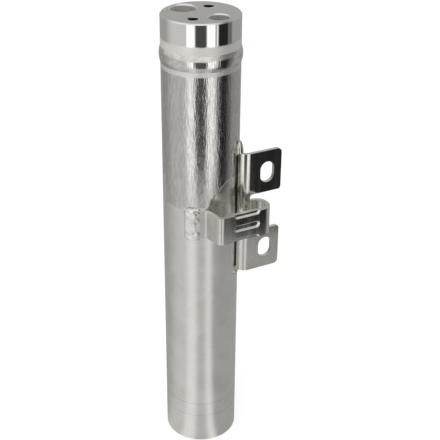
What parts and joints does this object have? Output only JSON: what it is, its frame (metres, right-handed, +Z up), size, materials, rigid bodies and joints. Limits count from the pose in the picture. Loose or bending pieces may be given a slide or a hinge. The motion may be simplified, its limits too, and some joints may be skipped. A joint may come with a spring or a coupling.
{
  "type": "receiver drier",
  "caption": "Slim aluminium receiver drier with a drilled polished head, a welded seam bead and a folded side bracket with slotted ears and a looped, ribbed strap",
  "frame": {"origin": "centre of the flat base, on the can's axis", "axes": "+Z up along the can to the ported head, +X along the bracket's ears away from the can, -Y towards the front of the strap's loop"},
  "size_m": [0.0644, 0.0591, 0.28],
  "materials": {
    "polished_head": "mirror-polished turned aluminium",
    "can_aluminium": "satin drawn aluminium, mottled near the seam",
    "weld_aluminium": "bright rippled weld",
    "bracket_sheet": "rolled sheet with fine lines",
    "tube_aluminium": "drawn tube",
    "seal_rubber": "dark rubber",
    "strainer_plastic": "natural moulded plastic",
    "screen_steel": "fine woven screen",
    "plate_steel": "plated sheet steel",
    "filter_felt": "pressed white felt",
    "desiccant_beads": "packed tan beads",
    "spring_steel": "drawn spring wire"
  },
  "bodies": {
    "root": {"head_block": "polished_head", "shell_can": "can_aluminium", "head_weld_bead": "weld_aluminium", "mounting_bracket": "bracket_sheet", "upper_bracket_weld": "weld_aluminium", "lower_bracket_weld": "weld_aluminium", "strap_end_weld": "weld_aluminium", "pickup_tube": "tube_aluminium", "pickup_seal_ring": "seal_rubber", "strainer_cage": "strainer_plastic", "strainer_screen": "screen_steel", "standoff_ring": "plate_steel", "lower_screen_plate": "plate_steel", "lower_filter_pad": "filter_felt", "desiccant_bed": "desiccant_beads", "upper_filter_pad": "filter_felt", "upper_screen_plate": "plate_steel", "hold_down_spring": "spring_steel", "inlet_deflector": "plate_steel", "deflector_screw": "spring_steel"}
  },
  "joints": []
}
